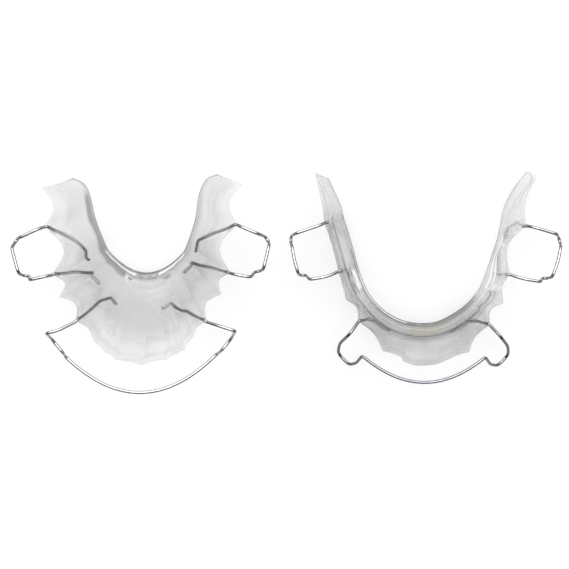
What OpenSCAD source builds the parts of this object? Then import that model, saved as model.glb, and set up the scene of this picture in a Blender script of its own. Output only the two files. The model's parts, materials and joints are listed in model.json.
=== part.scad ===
// Two removable dental retainers, an upper and a lower one, lying biting side up
// with the front teeth toward -Y. Each is a clear moulded plate with a spring wire
// across the front teeth and a spring clasp for the molar on each side. The wires
// are moulded into the plates and flex where they come out of the edge.

/* [Set] */
// distance between the middles of the two retainers
set_spacing = 62.6; // [61:0.2:90]

/* [Wires] */
// diameter of the spring wire
wire_d = 0.7; // [0.5:0.05:0.8]
// gap between a free wire and the moulded-in end it carries on from
wire_split = 0.06; // [0.04:0.01:0.15]
// how far the moulded-in wire ends stand out of the plate edge
wire_stub = 0.5; // [0.4:0.05:0.7]
// room left around a wire bedded in a plate
wire_bed = 0.02; // [0.01:0.01:0.05]
// flats around the wire
wire_sides = 8; // [6:2:12]

/* [Upper plate] */
// height of the tallest points of the scalloped edge
upper_edge_h = 16.2; // [13:0.2:20]
// height of the middle of the wall where the plate lies on the palate
upper_vault_h = 0.95; // [0.8:0.05:1.4]
// wall thickness at the scalloped edge
upper_edge_t = 1.2; // [1:0.1:1.6]
// wall thickness over the palate
upper_plate_t = 2.0; // [1.6:0.1:2.4]
// thickness of the rolled inner border
upper_border_t = 2.4; // [2:0.1:3]

/* [Lower plate] */
// height of the tallest points of the scalloped edge
lower_edge_h = 10.4; // [9:0.2:14]
// wall thickness at the scalloped edge
lower_edge_t = 1.2; // [1:0.1:1.6]
// wall thickness of the scalloped front
lower_plate_t = 1.6; // [1.4:0.1:2]
// width of the thick bar along the inner side
lower_bar_w = 4.0; // [3.4:0.1:4.4]
// height of the thick bar
lower_bar_h = 3.2; // [2.6:0.1:3.8]
// thickness of the rear ends, behind the thick bar
lower_heel_t = 2.2; // [1.8:0.1:2.6]

/* [Clasps] */
// how far the clasp arms rise over the plate edge between the teeth
clasp_rise = 1.7; // [1:0.1:3]
// drop of the arrowheads below the plate edge
clasp_arrow_drop = 3.4; // [2:0.1:5]
// height of the upper clasp bridges above the plate edge
upper_bridge_rise = -0.2; // [-1:0.1:1]
// height of the lower clasp bridges above the plate edge
lower_bridge_rise = 0.1; // [-1:0.1:1]

/* [Front wires] */
// height of the upper front wire above the plate edge
upper_bow_rise = 0.3; // [-1:0.1:2]
// drop of the upper U loops below the plate edge
upper_loop_drop = 7.0; // [5:0.1:9]
// reach of the upper front wire in front of the retainer's middle
upper_bow_reach = 23.6; // [23:0.1:26]
// height of the lower front wire above the plate edge
lower_bow_rise = 1.6; // [0:0.1:3]
// drop of the lower U loops below the plate edge
lower_loop_drop = 5.4; // [4:0.1:7]
// reach of the lower front wire in front of the retainer's middle
lower_bow_reach = 21.7; // [21:0.1:24]

/* [Hidden] */
acrylic = [0.86, 0.87, 0.88, 0.5];
steel = [0.78, 0.78, 0.8];

// The set is placed so that its bounding box is centred on the origin.
upper_at = [-set_spacing / 2 - 1.47, -0.63, 0];
lower_at = [set_spacing / 2 - 1.47, -0.63, 0];

// steps along each scallop of the plates
scallop_steps = 5;
// how much a scallop dips for each mm that it bulges inward
scallop_dip = 0.35;

// Scalloped edges: the points between neighbouring teeth from the left rear corner
// round the front to the right rear corner, as x, y, drop below the edge height,
// and how far the edge curves inward before the next point.
upper_edge = [
    [-21.95, 21.4, 2.2, 2.0], [-20.75, 12.6, 0, 3.1], [-19.1, 2.1, 0, 1.9],
    [-17.75, -2.65, 0.2, 1.9], [-14.05, -8.1, 0.4, 0.9], [-10.4, -12.6, 1.6, 0.2],
    [-8.0, -15.0, 1.8, 0.2], [-5.4, -16.7, 2.0, 0.2], [0.2, -17.9, 1.8, 0.3],
    [5.6, -16.7, 2.0, 0.2], [8.2, -15.3, 1.9, 0.2], [9.6, -14.6, 1.8, 0.35],
    [11.5, -11.8, 1.6, 0.8], [14.4, -8.15, 0.4, 1.9], [17.7, -2.1, 0.2, 1.55],
    [19.65, 2.5, 0, 3.1], [21.2, 13.05, 0, 2.4], [22.45, 22.3, 2.2, 0]];
lower_edge = [
    [-24.2, 25.1, 1.4, 0.2], [-21.9, 13.8, 0, 0.2], [-18.8, 3.0, 0, 0.1],
    [-17.2, -3.4, 0, 1.3], [-14.5, -8.2, 0, 0.9], [-9.0, -14.9, 0.6, 0.2],
    [-5.1, -16.2, 1.1, 0.1], [-4.5, -17.2, 1.2, -0.4], [0.3, -18.2, 1.2, -0.4],
    [5.6, -16.8, 1.2, 0.2], [10.2, -15.1, 0.6, 0.9], [14.7, -9.0, 0, 1.5],
    [17.8, -4.1, 0, 0.9], [19.0, 2.3, 0, 2.1], [22.7, 13.1, 0, 1.1],
    [25.3, 24.0, 1.4, 0]];

// Inner borders: place along the edge list, x, y, and rise above the lowest part.
upper_border = [
    [0, -15.9, 23.9, 6.8], [0.35, -13.6, 22.8, 6.4], [0.65, -12.3, 20.4, 5.8],
    [1, -11.3, 15.2, 4.1], [2, -8.9, 8.6, 1.9], [3, -7.2, 6.4, 1.1],
    [4, -5.2, 4.7, 0.6], [5, -3.4, 3.6, 0.3], [6.5, -1.6, 3.0, 0.2],
    [8, 0, 2.8, 0.2], [9.5, 1.6, 3.0, 0.2], [12, 3.8, 3.8, 0.3],
    [13, 5.6, 4.9, 0.6], [14, 7.6, 6.6, 1.1], [15, 9.1, 8.6, 1.9],
    [16, 11.4, 15.0, 4.0], [16.35, 12.3, 20.4, 5.6], [16.65, 13.9, 23.6, 6.3],
    [17, 16.3, 24.8, 6.8]];
lower_border = [
    [0, -21.8, 24.5, 1.5], [0.5, -19.3, 19.2, 0.8], [1, -17.2, 14.5, 0.3],
    [1.6, -15.2, 8.0, 0], [2, -14.0, 3.6, 0], [3, -11.7, -1.9, 0],
    [4, -8.6, -5.5, 0], [5, -5.4, -7.5, 0], [6.5, -2.5, -8.5, 0],
    [8, 0.5, -8.8, 0], [9.3, 3.6, -8.5, 0], [10, 6.2, -7.4, 0],
    [11, 9.8, -5.1, 0], [12, 12.6, -2.2, 0], [13, 14.4, 1.0, 0],
    [14, 17.4, 9.8, 0], [14.5, 20.0, 18.5, 0.8], [15, 24.8, 25.2, 1.8]];

function mix(a, b, t) = a + (b - a) * t;
function way(a, b) = (b - a) / norm(b - a);
function flat(a, b) = way([a.x, a.y, 0], [b.x, b.y, 0]);
function bezier(a, b, c, d, t) =
    pow(1 - t, 3) * a + 3 * t * pow(1 - t, 2) * b
    + 3 * t * t * (1 - t) * c + pow(t, 3) * d;

// A point of a scalloped edge; u counts the points between the teeth.
function edge_at(edge, height, u) =
    let (i = min(floor(u), len(edge) - 2))
    let (t = u - i)
    let (a = edge[i])
    let (b = edge[i + 1])
    let (f = pow(sin(180 * t), 1.25))
    let (step = norm([b.x - a.x, b.y - a.y]))
    [mix(a.x, b.x, t) - (b.y - a.y) / step * a[3] * f,
     mix(a.y, b.y, t) + (b.x - a.x) / step * a[3] * f,
     height - mix(a.z, b.z, t) - abs(a[3]) * scallop_dip * f];

// A point of an inner border: a smooth curve through its rows.
function border_slope(rows, i) =
    let (a = rows[max(i - 1, 0)])
    let (b = rows[min(i + 1, len(rows) - 1)])
    [b[1] - a[1], b[2] - a[2], b[3] - a[3]] / (b[0] - a[0]);
function border_at(rows, height, u) =
    let (i = max([for (k = [0 : len(rows) - 2]) rows[k][0] <= u ? k : 0]))
    let (a = rows[i])
    let (b = rows[i + 1])
    let (h = b[0] - a[0])
    let (t = (u - a[0]) / h)
    let (p = [a[1], a[2], a[3] + height])
    let (q = [b[1], b[2], b[3] + height])
    bezier(p, p + border_slope(rows, i) * h / 3,
        q - border_slope(rows, i + 1) * h / 3, q, t);

// Middle of the wall across a plate from the edge (v = 0) to the inner border
// (v = 1): steep along the teeth, then rounding like a bowl into the palate. It
// starts half an edge thickness inside the scalloped outline.
function upper_mid(u, v) =
    let (e = edge_at(upper_edge, upper_edge_h, u))
    let (b = border_at(upper_border, upper_vault_h, u))
    let (o = e + flat(e, b) * upper_edge_t * 0.42)
    let (c = mix(o, b, 0.15))
    let (d = mix(o, b, 0.55))
    bezier(o, [c.x, c.y, mix(b.z, o.z, 0.42)],
        [d.x, d.y, b.z - 0.06 * (o.z - b.z)], b, v);

// The lower plate slopes down to the bar, which keeps its width all the way round and
// straightens out toward the rear ends.
// v = 0 is the edge, 0.6 the outer side of the bar and 1 the inner border.
function lower_mid(u, v) =
    let (e = edge_at(lower_edge, lower_edge_h, u))
    let (b = border_at(lower_border, lower_bar_h / 2, u))
    let (o = e + flat(e, b) * lower_edge_t * 0.42)
    let (w = norm([o.x - b.x, o.y - b.y]))
    let (j = mix(b, o, min(lower_bar_w * 0.86 / w, 0.86)))
    let (k = mix([j.x, j.y, b.z], mix(o, b, 0.5), lower_heel(u) * 0.8))
    v > 0.6 ? mix(k, b, (v - 0.6) / 0.4)
    : bezier(o, mix([o.x, o.y, k.z], o, 0.74) + (k - o) * 0.12,
        k + [o.x - k.x, o.y - k.y, 0] * 0.25 + [0, 0, 0.18 * (o.z - k.z)], k, v / 0.6);

// Half the wall thickness across the plates, as place v and half thickness.
upper_wall = [
    [0, upper_edge_t * 0.38], [0.012, upper_edge_t * 0.5], [0.06, upper_edge_t * 0.56],
    [0.15, upper_plate_t / 2], [0.3, upper_plate_t / 2], [0.45, upper_plate_t / 2],
    [0.6, upper_plate_t / 2], [0.74, upper_plate_t / 2], [0.86, upper_border_t / 2],
    [0.94, upper_border_t / 2], [0.98, upper_border_t * 0.4], [1, upper_border_t * 0.18]];
lower_wall = [
    [0, lower_edge_t * 0.38], [0.03, lower_edge_t * 0.5], [0.15, lower_plate_t / 2],
    [0.3, lower_plate_t / 2], [0.45, lower_plate_t / 2], [0.57, lower_plate_t / 2],
    [0.64, lower_bar_h * 0.43], [0.72, lower_bar_h * 0.49], [0.82, lower_bar_h / 2],
    [0.92, lower_bar_h * 0.44], [0.97, lower_bar_h * 0.32], [1, lower_bar_h * 0.14]];

// Behind the clasps the bar steps down to thinner rear ends: 0 along the bar, 1 at
// the ends.
function lower_heel(u) = max(min((1 - u) / 0.4, 1), min((u - 14) / 0.4, 1), 0);
function lower_wall_at(u) = [for (r = lower_wall)
    [r[0], mix(r[1], min(r[1], lower_heel_t / 2), lower_heel(u))]];

function upper_line(u) = [for (r = upper_wall) upper_mid(u, r[0])];
function lower_line(u) = [for (r = lower_wall) lower_mid(u, r[0])];

// A closed loop of points round the wall at one place along the plate: over the top
// from the edge to the inner border, then back underneath, never below the table.
function wall_loop(line, wall) =
    let (n = len(line) - 1)
    let (r = flat(line[0], line[n]))
    let (up = [for (k = [0 : n])
        let (s = line[min(k + 1, n)] - line[max(k - 1, 0)])
        way([0, 0, 0], [-s.z * r.x, -s.z * r.y, s * r])])
    [for (k = [0 : n]) line[k] + up[k] * wall[k][1],
     for (k = [n : -1 : 0])
        let (p = line[k] - up[k] * wall[k][1])
        [p.x, p.y, max(p.z, 0)]];

// Skin over a row of equal closed loops, with each end closed between the two
// halves of its loop.
module skin(loops) {
    m = len(loops[0]);
    n = len(loops) - 1;
    h = m / 2;
    sides = [for (i = [0 : n - 1], k = [0 : m - 1])
        let (a = i * m + k, b = i * m + (k + 1) % m)
        each [[a, b, a + m], [b, b + m, a + m]]];
    first = [for (k = [0 : h - 2]) each [[k, m - 1 - k, k + 1],
        [k + 1, m - 1 - k, m - 2 - k]]];
    last = [for (f = first) [f[2], f[1], f[0]] + [n * m, n * m, n * m]];
    polyhedron(points = [for (l = loops) each l], faces = concat(sides, first, last),
        convexity = 8);
}

// A route with its corners rounded: each row is a point and, last, how far before
// and after the corner the curve starts. 0 keeps the point as it is.
function point(r) = [r[0], r[1], r[2]];
function rounded(route, steps) = [
    point(route[0]),
    for (i = [1 : len(route) - 2])
        let (p = point(route[i]))
        let (a = point(route[i - 1]) - p)
        let (b = point(route[i + 1]) - p)
        let (cut = route[i][3])
        each cut == 0 ? [p]
        : let (s = p + a / norm(a) * min(cut, 0.47 * norm(a)))
          let (e = p + b / norm(b) * min(cut, 0.47 * norm(b)))
          [for (k = [0 : steps])
            let (t = k / steps)
            pow(1 - t, 2) * s + 2 * t * (1 - t) * p + t * t * e],
    point(route[len(route) - 1])];

// Round wire along a path, its ring turned as little as possible from point to point.
function path_way(path, i) =
    way(path[max(i - 1, 0)], path[min(i + 1, len(path) - 1)]);
function carry(side, t) = way([0, 0, 0], side - t * (side * t));
function ring_sides(path, i, side) =
    i == len(path) ? []
    : let (s = carry(side, path_way(path, i)))
      concat([s], ring_sides(path, i + 1, s));
function first_side(t) = abs(t.z) < 0.9 ? [0, 0, 1] : [1, 0, 0];
module wire(path, d) {
    sides = ring_sides(path, 0, first_side(path_way(path, 0)));
    skin([for (i = [0 : len(path) - 1])
        let (t = path_way(path, i))
        let (b = cross(sides[i], t))
        [for (k = [0 : wire_sides - 1])
            let (a = 360 * k / wire_sides)
            path[i] + (sides[i] * cos(a) + b * sin(a)) * d / 2]]);
}

// Where a wire leaves its plate: the way from the edge point to the next bend.
function exit_way(edge, height, u, bend) =
    way(edge_at(edge, height, u), point(bend));
function stub_end(edge, height, u, bend) =
    edge_at(edge, height, u) + exit_way(edge, height, u, bend) * wire_stub;
function free_end(edge, height, u, bend) =
    edge_at(edge, height, u)
    + exit_way(edge, height, u, bend) * (wire_stub + wire_split);
function free_path(edge, height, u0, u1, bends) =
    rounded([free_end(edge, height, u0, bends[0]), each bends,
        free_end(edge, height, u1, bends[len(bends) - 1])], 4);

// Bends of the upper clasps between their rear and front exits.
function upper_clasp_row(x, y, rise, cut) = [x, y, upper_edge_h + rise, cut];
upper_left_clasp_bends = [
    upper_clasp_row(-21.9, 12.1, clasp_rise, 1.1),
    upper_clasp_row(-26.1, 10.2, clasp_rise - 0.5, 0.9),
    upper_clasp_row(-27.2, 10.3, -clasp_arrow_drop, 0.8),
    upper_clasp_row(-28.0, 9.2, -clasp_arrow_drop, 0.8),
    upper_clasp_row(-28.1, 8.0, upper_bridge_rise, 1.0),
    upper_clasp_row(-26.6, 2.5, upper_bridge_rise, 1.0),
    upper_clasp_row(-26.2, 2.0, -clasp_arrow_drop, 0.8),
    upper_clasp_row(-24.7, 1.8, -clasp_arrow_drop, 0.8),
    upper_clasp_row(-23.9, 1.0, clasp_rise - 0.5, 0.9),
    upper_clasp_row(-20.3, 1.8, clasp_rise, 1.1)];
upper_right_clasp_bends = [
    upper_clasp_row(22.3, 12.5, clasp_rise, 1.1),
    upper_clasp_row(26.0, 11.0, clasp_rise - 0.5, 0.9),
    upper_clasp_row(27.3, 10.6, -clasp_arrow_drop, 0.8),
    upper_clasp_row(28.2, 9.3, -clasp_arrow_drop, 0.8),
    upper_clasp_row(28.2, 8.5, upper_bridge_rise, 1.0),
    upper_clasp_row(27.0, 3.4, upper_bridge_rise, 1.0),
    upper_clasp_row(26.5, 3.1, -clasp_arrow_drop, 0.8),
    upper_clasp_row(25.1, 2.8, -clasp_arrow_drop, 0.8),
    upper_clasp_row(24.2, 1.6, clasp_rise - 0.5, 0.9),
    upper_clasp_row(20.8, 2.2, clasp_rise, 1.1)];

// Bends of the lower clasps; their bridges bow outward a little.
function lower_clasp_row(x, y, rise, cut) = [x, y, lower_edge_h + rise, cut];
lower_left_clasp_bends = [
    lower_clasp_row(-23.0, 13.2, clasp_rise, 1.1),
    lower_clasp_row(-28.6, 11.3, clasp_rise - 0.5, 0.9),
    lower_clasp_row(-29.5, 10.9, -clasp_arrow_drop, 0.8),
    lower_clasp_row(-29.6, 9.4, -clasp_arrow_drop, 0.8),
    lower_clasp_row(-29.3, 8.4, lower_bridge_rise, 1.0),
    lower_clasp_row(-28.8, 5.4, lower_bridge_rise, 1.4),
    lower_clasp_row(-28.0, 2.6, lower_bridge_rise, 1.0),
    lower_clasp_row(-27.6, 2.1, -clasp_arrow_drop, 0.8),
    lower_clasp_row(-26.2, 2.1, -clasp_arrow_drop, 0.8),
    lower_clasp_row(-25.4, 1.1, clasp_rise - 0.5, 0.9),
    lower_clasp_row(-21.4, 1.8, clasp_rise, 2)];
lower_right_clasp_bends = [
    lower_clasp_row(24.2, 12.7, clasp_rise, 1.1),
    lower_clasp_row(29.4, 11.2, clasp_rise - 0.5, 0.9),
    lower_clasp_row(30.7, 10.6, -clasp_arrow_drop, 0.8),
    lower_clasp_row(31.1, 9.1, -clasp_arrow_drop, 0.8),
    lower_clasp_row(30.5, 8.4, lower_bridge_rise, 1.0),
    lower_clasp_row(29.9, 5.2, lower_bridge_rise, 1.4),
    lower_clasp_row(28.6, 1.7, lower_bridge_rise, 1.0),
    lower_clasp_row(28.2, 1.4, -clasp_arrow_drop, 0.8),
    lower_clasp_row(26.9, 1.4, -clasp_arrow_drop, 0.8),
    lower_clasp_row(25.8, 0.6, clasp_rise - 0.5, 0.9),
    lower_clasp_row(21.6, 1.3, clasp_rise, 2)];

// Front wires: over the edge behind the canine, a U loop, then a smooth arc
// across the front teeth and the same again on the other side.
function arc_rows(x0, x1, reach, curl, height, steps) = [
    for (k = [1 : steps - 1])
        let (x = mix(x0, x1, k / steps))
        [x, curl * x * x - reach, height, 0]];
upper_bow_h = upper_edge_h + upper_bow_rise;
upper_bow_curl = 0.0298;
upper_bow_bends = [
    [-17.6, -10.0, upper_edge_h + 1.8, 1.4],
    [-20.2, -10.6, upper_edge_h + 1.6, 0.9],
    [-20.4, -12.2, upper_edge_h - upper_loop_drop, 1.6],
    [-17.8, -15.4, upper_edge_h - upper_loop_drop, 1.6],
    [-16.1, -15.9, upper_bow_h, 1.1],
    each arc_rows(-16.1, 16.7, upper_bow_reach, upper_bow_curl, upper_bow_h, 16),
    [16.7, -15.3, upper_bow_h, 1.1],
    [17.4, -14.9, upper_edge_h - upper_loop_drop, 1.6],
    [19.9, -11.8, upper_edge_h - upper_loop_drop, 1.6],
    [20.9, -10.1, upper_edge_h + 1.6, 0.9],
    [18.0, -9.2, upper_edge_h + 1.8, 1.4]];
lower_bow_h = lower_edge_h + lower_bow_rise;
lower_bow_curl = 0.031;
lower_bow_bends = [
    [-16.4, -10.8, lower_bow_h + 0.4, 1.6],
    [-18.7, -13.2, lower_edge_h - 1.6, 1.4],
    [-18.9, -15.6, lower_edge_h - lower_loop_drop, 1.4],
    [-16.4, -18.2, lower_edge_h - lower_loop_drop, 1.3],
    [-14.9, -17.6, lower_edge_h - 2.4, 1.0],
    [-13.8, -15.8, lower_bow_h, 0.8],
    each arc_rows(-13.8, 13.5, lower_bow_reach, lower_bow_curl, lower_bow_h, 14),
    [13.5, -16.1, lower_bow_h, 0.8],
    [15.2, -17.9, lower_edge_h - 2.4, 1.0],
    [17.3, -18.4, lower_edge_h - lower_loop_drop, 1.3],
    [19.7, -15.9, lower_edge_h - lower_loop_drop, 1.4],
    [19.0, -13.8, lower_edge_h - 1.6, 1.4],
    [16.7, -11.4, lower_bow_h + 0.4, 1.6]];

// Beds of the moulded-in wire ends: place along the edge list and across the wall,
// from the edge to the short bent tail that locks the wire in the acrylic.
upper_beds = [
    [[4, 0], [4.15, 0.46], [4.5, 0.58], [5.15, 0.6]],
    [[13, 0], [12.3, 0.4], [11, 0.66], [9.3, 0.64]],
    [[1, 0], [1.22, 0.2], [1.72, 0.58], [2.12, 0.67]],
    [[2, 0], [2.25, 0.3], [2.85, 0.62], [3.55, 0.54]],
    [[16, 0], [15.75, 0.45], [15.45, 0.78], [15.0, 0.83]],
    [[15, 0], [14.78, 0.4], [14.3, 0.79], [13.4, 0.77]]];
lower_beds = [
    [[4, 0], [4.1, 0.32], [4.3, 0.56], [5.05, 0.61]],
    [[11, 0], [10.9, 0.32], [10.72, 0.56], [9.75, 0.61]],
    [[1, 0], [1.06, 0.4], [1.12, 0.76], [1.3, 0.82]],
    [[2, 0], [2.02, 0.4], [2.0, 0.76], [1.85, 0.82]],
    [[14, 0], [14.14, 0.3], [14.12, 0.7], [13.9, 0.8]],
    [[13, 0], [13.02, 0.3], [13.05, 0.7], [13.15, 0.8]]];
function bed_uv(bed) = rounded([
    for (i = [0 : len(bed) - 2], k = [0 : 2])
        let (p = mix(bed[i], bed[i + 1], k / 3))
        [p[0], p[1], 0, k == 0 && i > 1 ? 1 : 0],
    [for (x = bed[len(bed) - 1]) x]], 3);
function upper_bed(i, bend) = [
    stub_end(upper_edge, upper_edge_h, upper_beds[i][0][0], bend),
    for (p = bed_uv(upper_beds[i])) upper_mid(p.x, p.y)];
function lower_bed(i, bend) = [
    stub_end(lower_edge, lower_edge_h, lower_beds[i][0][0], bend),
    for (p = bed_uv(lower_beds[i])) lower_mid(p.x, p.y)];
function last(list) = list[len(list) - 1];
upper_first_bends = [upper_bow_bends[0], last(upper_bow_bends),
    upper_left_clasp_bends[0], last(upper_left_clasp_bends),
    upper_right_clasp_bends[0], last(upper_right_clasp_bends)];
lower_first_bends = [lower_bow_bends[0], last(lower_bow_bends),
    lower_left_clasp_bends[0], last(lower_left_clasp_bends),
    lower_right_clasp_bends[0], last(lower_right_clasp_bends)];

module upper_arm(i, d) {
    wire(upper_bed(i, upper_first_bends[i]), d);
}
module lower_arm(i, d) {
    wire(lower_bed(i, lower_first_bends[i]), d);
}

module upper_base_plate() {
    color(acrylic)
    translate(upper_at)
    difference() {
        skin([for (i = [0 : (len(upper_edge) - 1) * scallop_steps])
            wall_loop(upper_line(i / scallop_steps), upper_wall)]);
        for (i = [0 : 5]) upper_arm(i, wire_d + 2 * wire_bed);
    }
}
module lower_base_plate() {
    color(acrylic)
    translate(lower_at)
    difference() {
        skin([for (i = [0 : (len(lower_edge) - 1) * scallop_steps])
            wall_loop(lower_line(i / scallop_steps), lower_wall_at(i / scallop_steps))]);
        for (i = [0 : 5]) lower_arm(i, wire_d + 2 * wire_bed);
    }
}

module upper_labial_bow() {
    color(steel)
    translate(upper_at)
    wire(free_path(upper_edge, upper_edge_h, 4, 13, upper_bow_bends), wire_d);
}
module upper_left_clasp() {
    color(steel)
    translate(upper_at)
    wire(free_path(upper_edge, upper_edge_h, 1, 2, upper_left_clasp_bends), wire_d);
}
module upper_right_clasp() {
    color(steel)
    translate(upper_at)
    wire(free_path(upper_edge, upper_edge_h, 16, 15, upper_right_clasp_bends), wire_d);
}
module lower_labial_bow() {
    color(steel)
    translate(lower_at)
    wire(free_path(lower_edge, lower_edge_h, 4, 11, lower_bow_bends), wire_d);
}
module lower_left_clasp() {
    color(steel)
    translate(lower_at)
    wire(free_path(lower_edge, lower_edge_h, 1, 2, lower_left_clasp_bends), wire_d);
}
module lower_right_clasp() {
    color(steel)
    translate(lower_at)
    wire(free_path(lower_edge, lower_edge_h, 14, 13, lower_right_clasp_bends), wire_d);
}

module upper_left_bow_arm() { color(steel) translate(upper_at) upper_arm(0, wire_d); }
module upper_right_bow_arm() { color(steel) translate(upper_at) upper_arm(1, wire_d); }
module upper_left_clasp_rear_arm() { color(steel) translate(upper_at) upper_arm(2, wire_d); }
module upper_left_clasp_front_arm() { color(steel) translate(upper_at) upper_arm(3, wire_d); }
module upper_right_clasp_rear_arm() { color(steel) translate(upper_at) upper_arm(4, wire_d); }
module upper_right_clasp_front_arm() { color(steel) translate(upper_at) upper_arm(5, wire_d); }
module lower_left_bow_arm() { color(steel) translate(lower_at) lower_arm(0, wire_d); }
module lower_right_bow_arm() { color(steel) translate(lower_at) lower_arm(1, wire_d); }
module lower_left_clasp_rear_arm() { color(steel) translate(lower_at) lower_arm(2, wire_d); }
module lower_left_clasp_front_arm() { color(steel) translate(lower_at) lower_arm(3, wire_d); }
module lower_right_clasp_rear_arm() { color(steel) translate(lower_at) lower_arm(4, wire_d); }
module lower_right_clasp_front_arm() { color(steel) translate(lower_at) lower_arm(5, wire_d); }

upper_base_plate();
upper_labial_bow();
upper_left_bow_arm();
upper_right_bow_arm();
upper_left_clasp();
upper_left_clasp_rear_arm();
upper_left_clasp_front_arm();
upper_right_clasp();
upper_right_clasp_rear_arm();
upper_right_clasp_front_arm();
lower_base_plate();
lower_labial_bow();
lower_left_bow_arm();
lower_right_bow_arm();
lower_left_clasp();
lower_left_clasp_rear_arm();
lower_left_clasp_front_arm();
lower_right_clasp();
lower_right_clasp_rear_arm();
lower_right_clasp_front_arm();
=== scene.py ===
# %% [markdown]
# # Two clear dental retainers, an upper and a lower one
#
# The set lies on a white table with the biting side up. Each retainer is one clear
# plate, cast from acrylic, with three spring wires moulded into it: a long front wire
# that runs across the front teeth, and a clasp for the molar on each side.
#
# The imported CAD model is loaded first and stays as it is. It is the frame that every
# new piece is hung on: its boxes say where things stand, and its bodies say what moves.

# %% Load the fixed frame
import json
import math

import bpy
import numpy as np
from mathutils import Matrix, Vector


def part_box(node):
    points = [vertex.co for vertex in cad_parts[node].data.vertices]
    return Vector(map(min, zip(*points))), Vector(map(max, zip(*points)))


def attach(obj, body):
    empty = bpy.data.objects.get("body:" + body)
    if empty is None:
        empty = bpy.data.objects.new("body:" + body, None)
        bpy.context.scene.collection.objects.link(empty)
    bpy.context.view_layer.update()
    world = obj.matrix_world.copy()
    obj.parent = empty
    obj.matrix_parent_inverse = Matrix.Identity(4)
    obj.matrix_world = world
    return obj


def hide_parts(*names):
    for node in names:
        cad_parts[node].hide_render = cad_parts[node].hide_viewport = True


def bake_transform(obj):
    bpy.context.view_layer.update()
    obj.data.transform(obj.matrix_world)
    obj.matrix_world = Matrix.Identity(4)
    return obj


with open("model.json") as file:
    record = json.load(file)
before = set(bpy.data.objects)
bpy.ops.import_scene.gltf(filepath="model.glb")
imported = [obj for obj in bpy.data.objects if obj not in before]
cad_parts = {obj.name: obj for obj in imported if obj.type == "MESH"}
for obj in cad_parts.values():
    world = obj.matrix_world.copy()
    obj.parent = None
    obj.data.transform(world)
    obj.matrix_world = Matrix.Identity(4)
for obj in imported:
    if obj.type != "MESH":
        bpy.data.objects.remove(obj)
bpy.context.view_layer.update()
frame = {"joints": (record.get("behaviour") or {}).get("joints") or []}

# %% [markdown]
# ## The camera
#
# The set is seen from straight above, from about a third of a metre. A real camera this
# near a small thing sees a little perspective: the high scalloped edges lean outward.
# So the camera is placed at its true distance, and the lens is worked out from the
# width of table that it has to take in.

# %% Camera straight above the set
VIEW_HEIGHT = 0.325
VIEW_WIDTH = 0.13087
VIEW_MIDDLE = (-0.00117, -0.00063)
SENSOR = 36.0
camera_data = bpy.data.cameras.new("overhead_camera")
camera_data.sensor_width = SENSOR
camera_data.lens = SENSOR * VIEW_HEIGHT / VIEW_WIDTH
camera_data.clip_start, camera_data.clip_end = 0.01, 10.0
camera = bpy.data.objects.new("overhead_camera", camera_data)
camera.location = (*VIEW_MIDDLE, VIEW_HEIGHT)
bpy.context.scene.collection.objects.link(camera)
bpy.context.scene.camera = camera
print("lens in mm:", round(camera_data.lens, 1))

# %% [markdown]
# ## Small tools for the maths
#
# All shapes below are worked out in millimetres with whole numpy arrays, one array
# operation for all points at once, and only the finished points go into Blender, in
# metres. A few short functions carry the work: mixing two points, giving a direction
# its unit length, a Bezier curve between four points, and eased steps.

# %% Mixing, directions and Bezier curves
def mix(a, b, t):
    """The point a share t of the way from a to b: a + (b - a) t."""
    return a + (b - a) * t


def unit(a):
    """Each row of a divided by its own length."""
    return a / np.maximum(np.linalg.norm(a, axis=-1, keepdims=True), 1e-12)


def flat(a, b):
    """Unit direction from a to b seen from above, its height left out."""
    d = np.array(b - a, float)
    d[..., 2] = 0
    return unit(d)


def bezier(a, b, c, d, t):
    """Cubic Bezier: (1-t)^3 a + 3 t (1-t)^2 b + 3 t^2 (1-t) c + t^3 d."""
    return (1 - t) ** 3 * a + 3 * t * (1 - t) ** 2 * b + 3 * t * t * (1 - t) * c + t ** 3 * d


def step(x, low, high):
    """Eases from 0 at low to 1 at high. With low above high it eases the other way."""
    t = np.clip((x - low) / (high - low), 0, 1)
    return t * t * (3 - 2 * t)


def neighbours(n):
    """The next and the previous of n places, held at the two ends."""
    i = np.arange(n)
    return np.minimum(i + 1, n - 1), np.maximum(i - 1, 0)


def length_along(path):
    """The length of a path from its start to each of its points."""
    return np.append(0, np.cumsum(np.linalg.norm(np.diff(path, axis=0), axis=1)))


# %% [markdown]
# ## The two curves that bound a plate
#
# A retainer plate is trimmed to the teeth on one side and to the tongue on the other.
# On the tooth side it has one scallop for each tooth. The rows below are the points
# between neighbouring teeth, with how deep the scallop after each point goes. On the
# tongue side it has one smooth border in a U.
#
# The place along both curves is called u. It counts the teeth, so u = 3.5 is the middle
# of the fourth scallop, and the same u on the border is the point across from it.

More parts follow.
